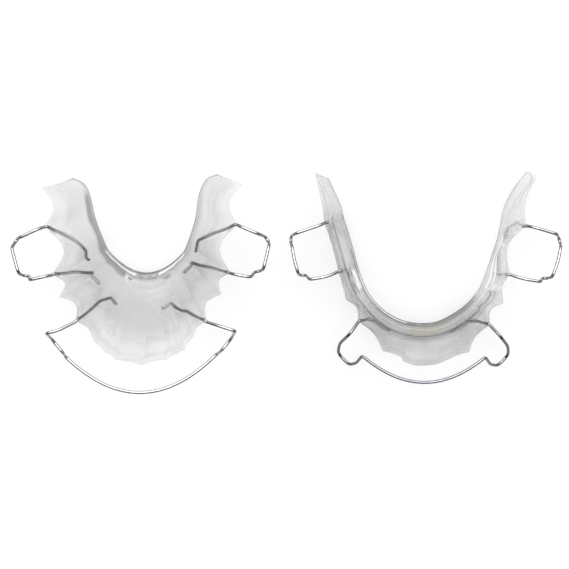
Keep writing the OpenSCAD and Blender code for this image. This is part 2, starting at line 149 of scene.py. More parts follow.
# %% Rows of the scalloped edges: x, y, drop of the edge, depth of the scallop
upper_edge = np.array([
    [-21.95, 21.4, 2.2, 2.0], [-20.75, 12.6, 0, 3.1], [-19.1, 2.1, 0, 1.9],
    [-17.75, -2.65, 0.2, 1.9], [-14.05, -8.1, 0.4, 0.9], [-10.4, -12.6, 1.6, 0.2],
    [-8.0, -15.0, 1.8, 0.2], [-5.4, -16.7, 2.0, 0.2], [0.2, -17.9, 1.8, 0.3],
    [5.6, -16.7, 2.0, 0.2], [8.2, -15.3, 1.9, 0.2], [9.6, -14.6, 1.8, 0.35],
    [11.5, -11.8, 1.6, 0.8], [14.4, -8.15, 0.4, 1.9], [17.7, -2.1, 0.2, 1.55],
    [19.65, 2.5, 0, 3.1], [21.2, 13.05, 0, 2.4], [22.45, 22.3, 2.2, 0]])
lower_edge = np.array([
    [-24.2, 25.1, 1.4, 0.2], [-21.9, 13.8, 0, 0.2], [-18.8, 3.0, 0, 0.1],
    [-17.2, -3.4, 0, 1.3], [-14.5, -8.2, 0, 0.9], [-9.0, -14.9, 0.6, 0.2],
    [-5.1, -16.2, 1.1, 0.1], [-4.5, -17.2, 1.2, -0.4], [0.3, -18.2, 1.2, -0.4],
    [5.6, -16.8, 1.2, 0.2], [10.2, -15.1, 0.6, 0.9], [14.7, -9.0, 0, 1.5],
    [17.8, -4.1, 0, 0.9], [19.0, 2.3, 0, 2.1], [22.7, 13.1, 0, 1.1],
    [25.3, 24.0, 1.4, 0]])
UPPER_EDGE_HEIGHT, LOWER_EDGE_HEIGHT = 16.2, 10.4
UPPER_END, LOWER_END = len(upper_edge) - 1, len(lower_edge) - 1
print("scallops along the upper edge:", UPPER_END, "and the lower:", LOWER_END)

# %% Rows of the inner borders: u, x, y, rise above the lowest part
upper_border = np.array([
    [0, -15.9, 23.9, 6.8], [0.35, -13.6, 22.8, 6.4], [0.65, -12.3, 20.4, 5.8],
    [1, -11.3, 15.2, 4.1], [2, -8.9, 8.6, 1.9], [3, -7.2, 6.4, 1.1],
    [4, -5.2, 4.7, 0.6], [5, -3.4, 3.6, 0.3], [6.5, -1.6, 3.0, 0.2],
    [8, 0, 2.8, 0.2], [9.5, 1.6, 3.0, 0.2], [12, 3.8, 3.8, 0.3],
    [13, 5.6, 4.9, 0.6], [14, 7.6, 6.6, 1.1], [15, 9.1, 8.6, 1.9],
    [16, 11.4, 15.0, 4.0], [16.35, 12.3, 20.4, 5.6], [16.65, 13.9, 23.6, 6.3],
    [17, 16.3, 24.8, 6.8]])
lower_border = np.array([
    [0, -21.8, 24.5, 1.5], [0.5, -19.3, 19.2, 0.8], [1, -17.2, 14.5, 0.3],
    [1.6, -15.2, 8.0, 0], [2, -14.0, 3.6, 0], [3, -11.7, -1.9, 0],
    [4, -8.6, -5.5, 0], [5, -5.4, -7.5, 0], [6.5, -2.5, -8.5, 0],
    [8, 0.5, -8.8, 0], [9.3, 3.6, -8.5, 0], [10, 6.2, -7.4, 0],
    [11, 9.8, -5.1, 0], [12, 12.6, -2.2, 0], [13, 14.4, 1.0, 0],
    [14, 17.4, 9.8, 0], [14.5, 20.0, 18.5, 0.8], [15, 24.8, 25.2, 1.8]])
UPPER_VAULT, LOWER_BAR_MIDDLE = 0.95, 1.6
SCALLOP_DIP = 0.35


# %% A point of a scalloped edge
def edge_at(rows, height, u):
    """Straight from row i to row i + 1, pushed sideways by depth * sin(pi t)^1.25 and
    dipped by a share of that push, where t is how far u has come between the rows."""
    i = np.clip(np.floor(u).astype(int), 0, len(rows) - 2)
    t = u - i
    a, b = rows[i], rows[i + 1]
    bulge = np.maximum(np.sin(np.pi * t), 0) ** 1.25
    side = unit(np.stack([a[..., 1] - b[..., 1], b[..., 0] - a[..., 0]], -1))
    xy = mix(a[..., :2], b[..., :2], t[..., None]) + side * (a[..., 3] * bulge)[..., None]
    z = height - mix(a[..., 2], b[..., 2], t) - np.abs(a[..., 3]) * SCALLOP_DIP * bulge
    return np.concatenate([xy, z[..., None]], -1)


# %% A point of an inner border
def border_at(rows, height, u):
    """A smooth curve through the rows: a Bezier curve between two neighbours whose
    handles point along the line from the row before to the row after."""
    k, p = rows[:, 0], rows[:, 1:] + np.array([0, 0, height])
    after, before = neighbours(len(rows))
    slope = (p[after] - p[before]) / (k[after] - k[before])[:, None]
    i = np.clip(np.searchsorted(k, u, side="right") - 1, 0, len(rows) - 2)
    h = (k[i + 1] - k[i])[..., None]
    t = (u - k[i])[..., None] / h
    return bezier(p[i], p[i] + slope[i] * h / 3, p[i + 1] - slope[i + 1] * h / 3, p[i + 1], t)


# %% [markdown]
# ## The middle of each wall
#
# Between edge and border the plate follows the mouth. The upper one drops steeply along
# the teeth and rounds into the palate like a bowl. The lower one slopes to a thick bar
# that stands against the jaw behind the front teeth. v is the place across the wall:
# 0 on the scalloped edge and 1 on the inner border.
#
# The wall is described by its middle surface plus a thickness, as a dental technician
# thinks of it: the model gives the shape and the wax gives the thickness.

# %% Middle surface of the upper plate
EDGE_INSET = 0.504


def upper_middle(u, v):
    """One Bezier curve for each u, from half an edge thickness inside the scallop o,
    steeply down and rounding into the palate like a bowl, to the border b."""
    e = edge_at(upper_edge, UPPER_EDGE_HEIGHT, u)
    b = border_at(upper_border, UPPER_VAULT, u)
    o = e + flat(e, b) * EDGE_INSET
    c, d = mix(o, b, 0.15), mix(o, b, 0.55)
    c[..., 2] = mix(b[..., 2], o[..., 2], 0.42)
    d[..., 2] = b[..., 2] - 0.06 * (o[..., 2] - b[..., 2])
    return bezier(o, c, d, b, v[..., None])


# %% Middle surface of the lower plate
BAR_WIDTH, BAR_PLACE = 3.44, 0.6


def lower_heel(u):
    """1 at the rear ends beyond the clasps and 0 along the bar."""
    return np.clip(np.maximum((1 - u) / 0.4, (u - LOWER_END + 1) / 0.4), 0, 1)


def lower_middle(u, v):
    """A sloping Bezier curve from the scallop o to the outer side of the bar k at
    BAR_PLACE, then a straight line across the bar to the border b. k stays BAR_WIDTH
    from b, and at the heels it moves to the middle of the wall."""
    e = edge_at(lower_edge, LOWER_EDGE_HEIGHT, u)
    b = border_at(lower_border, LOWER_BAR_MIDDLE, u)
    o = e + flat(e, b) * EDGE_INSET
    wide = np.linalg.norm((o - b)[..., :2], axis=-1)
    k = mix(b, o, np.minimum(BAR_WIDTH / wide, 0.86)[..., None])
    k[..., 2] = b[..., 2]
    k = mix(k, mix(o, b, 0.5), 0.8 * lower_heel(u)[..., None])
    foot = np.concatenate([o[..., :2], k[..., 2:]], -1)
    reach, drop = k - foot, (o - k)[..., 2:]
    first = mix(foot, o, 0.74) + (k - o) * 0.12
    second = k - reach * 0.25 + np.concatenate([0 * reach[..., :2], 0.18 * drop], -1)
    t = v[..., None]
    fall = bezier(o, first, second, k, np.minimum(t / BAR_PLACE, 1))
    return np.where(t > BAR_PLACE, mix(k, b, (t - BAR_PLACE) / (1 - BAR_PLACE)), fall)


# %% [markdown]
# ## How thick the wall is
#
# The edge is thin where it meets the teeth, the palate part is about 2 mm, and the inner
# border is rolled a little thicker so that the tongue finds nothing sharp. The lower bar
# is the thickest part, because nothing else holds that retainer in its U.
#
# Every outer edge is polished round. This is done in the thickness itself: near an edge
# it follows a quarter of an ellipse down to nothing, so top and underside meet in one
# smooth turn and the skin closes by itself.

# %% Thickness across the plates
upper_wall = np.array([
    [0, 0.60], [0.06, 0.67], [0.15, 1.0], [0.74, 1.0], [0.86, 1.2], [1, 1.2]])
lower_wall = np.array([
    [0, 0.60], [0.06, 0.66], [0.15, 0.8], [0.57, 0.8], [0.64, 1.38], [0.72, 1.57],
    [0.82, 1.6], [0.92, 1.42], [1, 1.25]])


def eased(v, rows):
    """The value at v between rows of (place, value). Between two rows it eases with
    t^2 (3 - 2t), so there is no kink that would show as a line in clear plastic."""
    i = np.clip(np.searchsorted(rows[:, 0], v, side="right") - 1, 0, len(rows) - 2)
    return mix(rows[i, 1], rows[i + 1, 1], step(v, rows[i, 0], rows[i + 1, 0]))


def rounded_off(distance, radius):
    """A quarter of a circle: 0 at the edge, 1 from the given radius on."""
    return np.sqrt(np.clip(1 - (1 - np.clip(distance / radius, 0, 1)) ** 2, 0, 1))


# %% Places where the grid lines lie: close together on the rounded edges
def grid_places(length, edge, inner, between):
    """inner grid lines over each rounded end, placed as the cosine of equal angles,
    and the rest evenly, so that the rounding is smooth without a fine grid elsewhere."""
    turn = edge * (1 - np.cos(np.linspace(0, np.pi / 2, inner)))
    return np.unique(np.round(np.concatenate([
        turn, np.linspace(edge, length - edge, between), length - turn]), 6))


across = grid_places(1.0, 0.03, 7, 51)
print("grid lines across a plate:", len(across))


# %% [markdown]
# ## From a wall to a closed skin
#
# At each u the wall is a flat strip standing in one upright plane. The direction that
# points out of it is found in that plane from the slope of the middle line. Adding half
# the thickness gives the tongue side, taking it away gives the tissue side. The two
# strips share their first and last points, so together they are one closed ring, and the
# rings of all u make a tube that is closed at both ends. The plate is one watertight
# body, which glass needs: a ray has to go in and come out again.

# %% Rings round the wall of a plate
def wall_rings(v, line, half, relief):
    """Ring i runs over the top of the wall from the edge to the border and back under
    it: line + up * (half + relief), then line - up * half, never below the table."""
    sight = flat(line[:, 0], line[:, -1])[:, None, :]
    after, before = neighbours(len(v))
    s = line[:, after] - line[:, before]
    along = (s * sight).sum(-1)
    up = unit(np.stack([-s[..., 2] * sight[..., 0], -s[..., 2] * sight[..., 1], along], -1))
    top = line + up * (half + relief)[..., None]
    under = line - up * half[..., None]
    under[..., 2] = np.maximum(under[..., 2], 0)
    return np.concatenate([top, under[:, -2:0:-1]], 1)


# %% Meshes from points
def grid_quads(n, m, closed=True):
    """Quads between n rows of m points. A closed row joins its last point to its first."""
    i, j = np.meshgrid(np.arange(n - 1), np.arange(m if closed else m - 1), indexing="ij")
    k = (j + 1) % m
    return np.stack([i * m + j, (i + 1) * m + j, (i + 1) * m + k, i * m + k], -1).reshape(-1, 4)


def new_piece(name, points, faces, smooth=False):
    """One mesh object, from points in mm."""
    mesh = bpy.data.meshes.new(name)
    mesh.from_pydata((points / 1000).tolist(), [], faces)
    mesh.polygons.foreach_set("use_smooth", np.full(len(mesh.polygons), smooth))
    mesh.update()
    piece = bpy.data.objects.new(name, mesh)
    bpy.context.scene.collection.objects.link(piece)
    return piece


def keep_map(mesh, name, uv):
    """A UV map with one place for each corner of the faces."""
    mesh.uv_layers.new(name=name).data.foreach_set("uv", uv.astype(np.float32).ravel())


def keep_value(mesh, name, value):
    """An attribute with one number for each point."""
    made = mesh.attributes.new(name, "FLOAT", "POINT")
    made.data.foreach_set("value", value.astype(np.float32).ravel())


def ring_piece(name, rings, u_of, v_of, tone_of):
    """A closed skin: quads between neighbouring rings, and each end ring closed by quads between
    its two halves. rings is (n, m, 3) in mm. u_of (n, m) and v_of (n, m) are kept as the UV map
    plate_uv, so that a finish can follow the wall, and tone_of as the attribute tone, which says
    how grey the acrylic looks there: partly its own grey, partly painted shade."""
    n, m = rings.shape[:2]
    h = np.arange(1, m // 2 - 1)
    cap = np.stack([h, h + 1, m - h - 1, m - h], -1)
    tips = np.array([[0, 1, m - 1], [m // 2 - 1, m // 2, m // 2 + 1]])
    faces = grid_quads(n, m).tolist() + cap.tolist() + tips.tolist()
    faces += (cap[:, ::-1] + (n - 1) * m).tolist() + (tips[:, ::-1] + (n - 1) * m).tolist()
    piece = new_piece(name, rings.reshape(-1, 3), faces, smooth=True)
    corner = np.zeros(len(piece.data.loops), np.int32)
    piece.data.loops.foreach_get("vertex_index", corner)
    keep_map(piece.data, "plate_uv", np.stack([u_of.ravel(), v_of.ravel()], -1)[corner])
    keep_value(piece.data, "tone", tone_of)
    return piece


def volume_mm3(mesh):
    """Volume inside a closed mesh: the sum over its triangles of a . (b x c) / 6. It
    comes out positive only where the faces point outward."""
    mesh.calc_loop_triangles()
    tri = np.zeros(len(mesh.loop_triangles) * 3, np.int32)
    mesh.loop_triangles.foreach_get("vertices", tri)
    p = np.zeros(len(mesh.vertices) * 3)
    mesh.vertices.foreach_get("co", p)
    a, b, c = (p.reshape(-1, 3)[tri.reshape(-1, 3)[:, k]] * 1000 for k in range(3))
    return float((a * np.cross(b, c)).sum() / 6)


# %% [markdown]
# ## The spring wires
#
# An orthodontic wire is 0.7 mm stainless steel, bent by hand with pliers: straight
# stretches with tight rounded corners, except for the long arc over the front teeth. So
# a wire is written as its bend points with a bending radius at each. The ends that are
# moulded into the acrylic follow the middle of the wall and finish in a short bent tail,
# which stops the wire from pulling out.
#
# Each wire is one piece from tail to tail, as the real one is.

# %% Rounding the bends of a route
def rounded_route(rows, steps=7):
    """Rows of x, y, z, cut. Each corner with a cut is replaced by a curve that starts
    cut mm before it and ends cut mm after it: (1-t)^2 s + 2t(1-t) p + t^2 e."""
    rows = np.array(rows, float)
    p, cut = rows[:, :3], rows[:, 3]
    back, on = p[:-2] - p[1:-1], p[2:] - p[1:-1]
    lb, lo = (np.linalg.norm(x, axis=1)[:, None] for x in (back, on))
    c = cut[1:-1, None]
    s = p[1:-1] + back / lb * np.minimum(c, 0.47 * lb)
    e = p[1:-1] + on / lo * np.minimum(c, 0.47 * lo)
    t = np.linspace(0, 1, steps + 1)[None, :, None]
    turn = (1 - t) ** 2 * s[:, None] + 2 * t * (1 - t) * p[1:-1, None] + t * t * e[:, None]
    return np.concatenate([p[:1], turn.reshape(-1, 3), p[-1:]])


def even_route(path, spacing):
    """The same route with points at equal spacing, so a bend has as many as it needs."""
    d = np.linalg.norm(np.diff(path, axis=0), axis=1)
    path, d = path[np.append(True, d > 1e-6)], d[d > 1e-6]
    s = np.append(0, np.cumsum(d))
    at = np.linspace(0, s[-1], max(int(s[-1] / spacing), 8))
    return np.stack([np.interp(at, s, path[:, k]) for k in range(3)], -1)


# %% Bed of a wire end inside a plate
def bed_route(middle, bed):
    """Points on the middle surface under the straight lines between the bed's (u, v)
    places, from the tail to the edge."""
    bed = np.array(bed, float)
    t = np.linspace(0, 1, 7)[:-1, None]
    uv = np.concatenate([mix(a, b, t) for a, b in zip(bed[:-1], bed[1:])] + [bed[-1:]])
    return middle(uv[:, 0], uv[:, 1])[::-1]


def wire_route(middle, edge, height, bed_a, bends, bed_b):
    """Tail, bed, exit over the edge, all free bends, and down the other exit to the
    other tail. The corners are rounded first where the beds meet the free wire."""
    a, b = bed_route(middle, bed_a), bed_route(middle, bed_b)[::-1]
    out_a, out_b = (edge_at(edge, height, np.array([float(x[0][0])]))[0] for x in (bed_a, bed_b))
    rows = [[*p, 0.35] for p in a] + [[*out_a, 0.3]] + [list(r) for r in bends]
    rows += [[*out_b, 0.3]] + [[*p, 0.35] for p in b]
    path = even_route(rounded_route(rows), 0.12)
    for _ in range(2):
        path[1:-1] = (path[:-2] + 2 * path[1:-1] + path[2:]) / 4
    return even_route(path, 0.16)


# %% Bend points of the clasps
CLASP_RISE, CLASP_DROP = 1.7, 3.4


def clasp_bends(height, bridge, kinds, points):
    """The bends of a clasp in order: over the edge, down to the arrowhead under the
    tooth's widest part, up to the bridge, and the same back again. Each kind has its
    height and cut: o over the edge and w a wider one, s a little lower, d down at the
    arrowhead, b on the bridge and m the wide bend at its middle."""
    kind = {"o": (CLASP_RISE, 1.1), "w": (CLASP_RISE, 2), "s": (CLASP_RISE - 0.5, 0.9),
            "d": (-CLASP_DROP, 0.8), "b": (bridge, 1.0), "m": (bridge, 1.4)}
    return [[x, y, height + kind[k][0], kind[k][1]] for k, (x, y) in zip(kinds, points)]


upper_left_clasp_bends = clasp_bends(UPPER_EDGE_HEIGHT, -0.2, "osddbbddso", [
    (-21.9, 12.1), (-26.1, 10.2), (-27.2, 10.3), (-28.0, 9.2), (-28.1, 8.0), (-26.6, 2.5),
    (-26.2, 2.0), (-24.7, 1.8), (-23.9, 1.0), (-20.3, 1.8)])
upper_right_clasp_bends = clasp_bends(UPPER_EDGE_HEIGHT, -0.2, "osddbbddso", [
    (22.3, 12.5), (26.0, 11.0), (27.3, 10.6), (28.2, 9.3), (28.2, 8.5), (27.0, 3.4), (26.5, 3.1),
    (25.1, 2.8), (24.2, 1.6), (20.8, 2.2)])
lower_left_clasp_bends = clasp_bends(LOWER_EDGE_HEIGHT, 0.1, "osddbmbddsw", [
    (-23.0, 13.2), (-28.6, 11.3), (-29.5, 10.9), (-29.6, 9.4), (-29.3, 8.4), (-28.8, 5.4),
    (-28.0, 2.6), (-27.6, 2.1), (-26.2, 2.1), (-25.4, 1.1), (-21.4, 1.8)])
lower_right_clasp_bends = clasp_bends(LOWER_EDGE_HEIGHT, 0.1, "osddbmbddsw", [
    (24.2, 12.7), (29.4, 11.2), (30.7, 10.6), (31.1, 9.1), (30.5, 8.4), (29.9, 5.2), (28.6, 1.7),
    (28.2, 1.4), (26.9, 1.4), (25.8, 0.6), (21.6, 1.3)])


# %% Bend points of the front wires
def front_arc(x0, x1, reach, curl, height, steps):
    """The arc over the front teeth, a parabola: y = curl x^2 - reach."""
    x = np.linspace(x0, x1, steps + 1)[1:-1]
    return np.stack([x, curl * x * x - reach, 0 * x + height, 0 * x + 0.4], -1).tolist()


over, turn, loop, front = 18.0, 17.8, 9.2, 16.5
upper_bow_bends = [
    [-17.6, -10.0, over, 1.4], [-20.2, -10.6, turn, 0.9], [-20.4, -12.2, loop, 1.6],
    [-17.8, -15.4, loop, 1.6], [-16.1, -15.9, front, 1.1],
    *front_arc(-16.1, 16.7, 23.6, 0.0298, front, 16),
    [16.7, -15.3, front, 1.1], [17.4, -14.9, loop, 1.6], [19.9, -11.8, loop, 1.6],
    [20.9, -10.1, turn, 0.9], [18.0, -9.2, over, 1.4]]
over, lean, loop, rise, front = 12.4, 8.8, 5.0, 8.0, 12.0
lower_bow_bends = [
    [-16.4, -10.8, over, 1.6], [-18.7, -13.2, lean, 1.4], [-18.9, -15.6, loop, 1.4],
    [-16.4, -18.2, loop, 1.3], [-14.9, -17.6, rise, 1.0], [-13.8, -15.8, front, 0.8],
    *front_arc(-13.8, 13.5, 21.7, 0.031, front, 14),
    [13.5, -16.1, front, 0.8], [15.2, -17.9, rise, 1.0], [17.3, -18.4, loop, 1.3],
    [19.7, -15.9, loop, 1.4], [19.0, -13.8, lean, 1.4], [16.7, -11.4, over, 1.6]]

# %% The six routes, each from tail to tail
def upper_route(*rows):
    """The upper plate's values, then a wire's first bed, its bends and its second bed."""
    return (upper_middle, upper_edge, UPPER_EDGE_HEIGHT, *rows)


def lower_route(*rows):
    """The same with the lower plate's values."""
    return (lower_middle, lower_edge, LOWER_EDGE_HEIGHT, *rows)


wire_rows = {
    "upper_bow": upper_route(
        [[4, 0], [4.15, 0.46], [4.5, 0.58], [5.15, 0.6]], upper_bow_bends,
        [[13, 0], [12.3, 0.4], [11, 0.66], [9.3, 0.64]]),
    "upper_left_clasp": upper_route(
        [[1, 0], [1.22, 0.2], [1.72, 0.58], [2.12, 0.67]], upper_left_clasp_bends,
        [[2, 0], [2.25, 0.3], [2.85, 0.62], [3.55, 0.54]]),
    "upper_right_clasp": upper_route(
        [[16, 0], [15.75, 0.45], [15.45, 0.78], [15.0, 0.83]], upper_right_clasp_bends,
        [[15, 0], [14.78, 0.4], [14.3, 0.79], [13.4, 0.77]]),
    "lower_bow": lower_route(
        [[4, 0], [4.1, 0.32], [4.3, 0.56], [5.05, 0.61]], lower_bow_bends,
        [[11, 0], [10.9, 0.32], [10.72, 0.56], [9.75, 0.61]]),
    "lower_left_clasp": lower_route(
        [[1, 0], [1.06, 0.4], [1.12, 0.76], [1.3, 0.82]], lower_left_clasp_bends,
        [[2, 0], [2.02, 0.4], [2.0, 0.76], [1.85, 0.82]]),
    "lower_right_clasp": lower_route(
        [[14, 0], [14.14, 0.3], [14.12, 0.7], [13.9, 0.8]], lower_right_clasp_bends,
        [[13, 0], [13.02, 0.3], [13.05, 0.7], [13.15, 0.8]])}
routes = {name: wire_route(*rows) for name, rows in wire_rows.items()}
bed_lengths = {name: [length_along(bed_route(rows[0], bed))[-1] for bed in (rows[3], rows[5])]
               for name, rows in wire_rows.items()}
for name, path in routes.items():
    print(name, "is", round(length_along(path)[-1], 1), "mm of wire, of it bedded",
          round(sum(bed_lengths[name]), 1))

# %% [markdown]
# ## Where the two retainers stand
#
# The routes are written about each retainer's own middle. How far that middle is from
# the middle of the set comes from the CAD model: the box of its front wire and the box
# of the same route here have to have the same centre and the same front.

# %% Middle of each retainer, from the boxes of the CAD front wires
WIRE = 0.7


def stands_at(node, path):
    """Centre of the CAD box in x minus the centre of the route's box, and the front of
    the CAD box in y minus the front of the wire on the route, in mm."""
    low, high = (np.array(c) * 1000 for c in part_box(node))
    x = (low[0] + high[0]) / 2 - (path[:, 0].min() + path[:, 0].max()) / 2
    return np.array([x, low[1] - (path[:, 1].min() - WIRE / 2), 0.0])


upper_place = stands_at("upper_labial_bow", routes["upper_bow"])
lower_place = stands_at("lower_labial_bow", routes["lower_bow"])
print("upper retainer stands at", upper_place.round(3), "and the lower at", lower_place.round(3))

# %% [markdown]
# ## Building the plates
#
# The polished tongue side of the real plates isn't quite as even as the wall behind it:
# the border is finished with a bur, which leaves shallow channels along it. In clear
# plastic these are what is seen first, because each one bends the light into a bright
# and a dark line. They are added to the top of the wall only, as a relief a tenth or two
# of a millimetre deep.

# %% The upper plate
def channel(v, place, width):
    """A smooth shallow channel: minus exp(-((v - place) / width)^2)."""
    return -np.exp(-((v - place) / width) ** 2)


def plate_piece(name, middle, places, wall_half, relief, tone, place):
    """Rings at all places u by all places v, then one mesh object in metres."""
    u, v = places[:, None] + 0 * across[None, :], across[None, :] + 0 * places[:, None]
    rings = wall_rings(across, middle(u, v), wall_half(u, v), relief(u, v)) + place
    kept = [np.concatenate([x, x[:, -2:0:-1]], 1) for x in (u / places[-1], v, tone(u, v))]
    piece = ring_piece(name, rings, *kept)
    print(name, "has", len(piece.data.polygons), "faces and holds",
          round(volume_mm3(piece.data)), "mm3")
    return piece


def upper_half(u, v):
    """Half the thickness of the upper wall, rounded off at the edge, border and ends."""
    ends = rounded_off(np.minimum(u, UPPER_END - u), 0.06) * 0.94 + 0.06
    return eased(v, upper_wall) * rounded_off(v, 0.018) * rounded_off(1 - v, 0.045) * ends


def upper_relief(u, v):
    """Two channels along the rolled border, deepest round the bottom of the U."""
    deep = step(u, 1.2, 3) * step(UPPER_END - u, 1.0, 3)
    return deep * (0.16 * channel(v, 0.845, 0.02) + 0.1 * channel(v, 0.93, 0.012))


def upper_tone(u, v):
    """Deepest in the palate, a little less on the sides, and light along the front teeth and in
    both arms. Partly the acrylic's own grey, partly painted shade."""
    arms = 1 - step(u, 1.0, 2.4) * step(UPPER_END - u, 1.0, 2.4)
    front = step(u, 4.2, 6.0) * step(u, 13.0, 11.4) * step(v, 0.34, 0.2)
    side = step(v, 0.5, 0.3)
    return np.clip(1 - 0.5 * arms - 0.9 * front - 0.45 * side * (1 - front), 0, 1)


upper_places = grid_places(UPPER_END, 0.06, 6, 339)
upper_plate = plate_piece("upper_plate", upper_middle, upper_places, upper_half, upper_relief,
                          upper_tone, upper_place)


# %% The lower plate
def lower_half(u, v):
    """Half the thickness of the lower wall. Behind the clasps the bar steps down to
    ends that are 2.2 mm thick."""
    heel = lower_heel(u)
    bar = eased(v, lower_wall)
    ends = rounded_off(np.minimum(u, LOWER_END - u), 0.05) * 0.94 + 0.06
    thick = mix(bar, np.minimum(bar, 1.1), heel)
    return thick * rounded_off(v, 0.03) * rounded_off(1 - v, 0.06) * ends


def lower_relief(u, v):
    """A channel inside the border, one inside the outer side of the bar, and a fine
    one between them."""
    bar = step(u, 0.9, 1.3) * step(LOWER_END - u, 0.95, 1.4)
    return bar * (0.24 * channel(v, 0.9, 0.016) + 0.2 * channel(v, 0.655, 0.016)
                  + 0.08 * channel(v, 0.74, 0.012))


def lower_tone(u, v):
    """Deepest in the bar behind the front teeth, less along its arms and least in the right one,
    and little in the thin rear ends. Partly the acrylic's own grey, partly painted shade."""
    bar = step(v, 0.56, 0.64)
    front = step(u, 2.6, 4.6) * step(u, 12.4, 10.6)
    ends = 1 - step(u, 0.5, 1.1) * step(LOWER_END - u, 0.5, 1.2)
    left = step(u, 8.0, 6.0)
    arm = mix(0.1 + 0.32 * left, 0.34, front)
    return np.clip(mix(arm, mix(arm, 1.0, front), bar) * (1 - 0.6 * ends), 0, 1)


lower_places = grid_places(LOWER_END, 0.05, 6, 303)
lower_plate = plate_piece("lower_plate", lower_middle, lower_places, lower_half, lower_relief,
                          lower_tone, lower_place)


# %% [markdown]
# ## Building the wires
#
# A round wire is a circle carried along its route. The circle must not twist, or the
# drawn grain along the wire would wind round it like thread, so its side direction is
# carried from one point to the next and only straightened against the new direction.
# Both ends are closed by shrinking the last circles to a point, like a filed wire end.

# %% A round wire along a route
def carried_sides(tangent):
    """For each point a direction across the wire, the one before it made square to the
    new tangent: s = unit(s - t (s . t))."""
    s = np.cross(tangent[0], [0, 0, 1.0] if abs(tangent[0][2]) < 0.9 else [1.0, 0, 0])
    sides = []
    for t in tangent:
        s = s - t * (s @ t)
        s = s / np.linalg.norm(s)
        sides.append(s)
    return np.array(sides)


def wire_piece(name, path, in_bed, place, around=16):
    """path[i] + r (cos a side + sin a (t x side)) for all a at once. The attribute bend
    is how sharply the wire turns there, bedded is in_bed, and wire_uv holds mm along
    and turns around."""
    after, before = neighbours(len(path))
    t = unit(path[after] - path[before])
    side = carried_sides(t)
    turn = np.linalg.norm(np.cross(t[before], t[after]), axis=1)
    turn = np.convolve(turn, np.ones(5) / 5, mode="same")
    s = length_along(path)
    r = WIRE / 2 * np.minimum(rounded_off(s, 0.25), rounded_off(s[-1] - s, 0.25)).clip(0.02)
    a = (np.arange(around) / around * 2 * np.pi)[None, :, None]
    ring = np.cos(a) * side[:, None] + np.sin(a) * np.cross(t, side)[:, None]
    points = path[:, None] + ring * r[:, None, None] + place
    n, m = len(path), around
    caps = [list(range(m))[::-1], [(n - 1) * m + q for q in range(m)]]
    quads = grid_quads(n, m)[:, [0, 3, 2, 1]]
    piece = new_piece(name, points.reshape(-1, 3), quads.tolist() + caps, smooth=True)
    i, j = np.meshgrid(np.arange(n - 1), np.arange(m), indexing="ij")
    corners = [np.stack([s[i + a], (j + b) / m], -1) for a, b in ((0, 0), (0, 1), (1, 1), (1, 0))]
    uv = np.concatenate([np.stack(corners, 2).reshape(-1, 2), np.zeros((2 * m, 2))])
    keep_map(piece.data, "wire_uv", uv)
    keep_value(piece.data, "bedded", np.repeat(in_bed, m))
    keep_value(piece.data, "bend", np.repeat(np.clip(turn / 0.5, 0, 1), m))
    print(name, "has", len(piece.data.polygons), "faces and holds",
          round(volume_mm3(piece.data), 1), "mm3")
    return piece


# %% The six wires
def bedded_part(name, path):
    """1 where the wire is deeper in the plate than its edge, eased over 0.8 mm: the
    length from each tail to the exit is the bed's own length."""
    s = length_along(path)
    first, last = bed_lengths[name]
    return np.maximum(step(s, first + 0.2, first - 0.6), step(s[-1] - s, last + 0.2, last - 0.6))


# Below 0 the attribute bedded marks a bed in frosted acrylic, which the finish veils.
wires = {}
for name, path in routes.items():
    place = upper_place if name.startswith("upper") else lower_place
    in_frosted_acrylic = name.startswith("lower") and "clasp" in name
    in_bed = bedded_part(name, path) * (-1 if in_frosted_acrylic else 1)
    wires[name] = wire_piece(name + "_wire", path, in_bed, place)

# %% [markdown]
# ## Tools for the finishes
#
# A finish is a small machine of nodes. Short helpers keep the wiring readable: one
# makes a node and sets or links its inputs, and the others are the sums, eased steps,
# noises and mixes that come up again and again. A socket knows its own node tree, so
# they ask it. Effects that both the acrylic and the steel show are node groups, built
# once and given each material's own values.

# %% Making nodes
def feed(socket, value):
    """Links value where it is a socket, and sets it where it is a number or a colour."""
    if isinstance(value, bpy.types.NodeSocket):
        socket.id_data.links.new(value, socket)
    else:
        socket.default_value = (*value, 1) if socket.type == "RGBA" else value


def node(tree, kind, **values):
    """A node of that kind. A value's name is a property, or in_ and an input's name or
    number, such as in_Scale or in_0."""
    made = tree.nodes.new(kind)
    for key, value in values.items():
        if key.startswith("in_"):
            socket = key[3:].replace("_", " ")
            feed(made.inputs[int(socket) if socket.isdigit() else socket], value)
        else:
            setattr(made, key, value)
    return made


def math_node(operation, *values):
    """The values are numbers or sockets, and the first socket says which tree it is."""
    tree = [value for value in values if isinstance(value, bpy.types.NodeSocket)][0].id_data
    return node(tree, "ShaderNodeMath", operation=operation,
                **{"in_" + str(i): value for i, value in enumerate(values)}).outputs[0]


def plus(a, b):
    return math_node("ADD", a, b)


def minus(a, b):
    return math_node("SUBTRACT", a, b)


def larger(a, b):
    return math_node("MAXIMUM", a, b)


def times(*values):
    """The product of two or more values."""
    product = values[0]
    for value in values[1:]:
        product = math_node("MULTIPLY", product, value)
    return product


def eased_range(value, low, high, out_low=0.0, out_high=1.0):
    """Eases from out_low at low to out_high at high."""
    return node(value.id_data, "ShaderNodeMapRange", interpolation_type="SMOOTHSTEP",
                in_Value=value, in_From_Min=low, in_From_Max=high, in_To_Min=out_low,
                in_To_Max=out_high).outputs["Result"]


def between(value, low, high, soft):
    """1 where low < value < high, easing to 0 within soft on both sides."""
    return times(eased_range(value, low - soft, low + soft),
                 eased_range(value, high - soft, high + soft, 1.0, 0.0))


# %% Places, noises, bumps and mixes
def object_place(tree):
    return node(tree, "ShaderNodeTexCoord").outputs["Object"]


def own_map(tree, name):
    return node(tree, "ShaderNodeUVMap", uv_map=name).outputs["UV"]


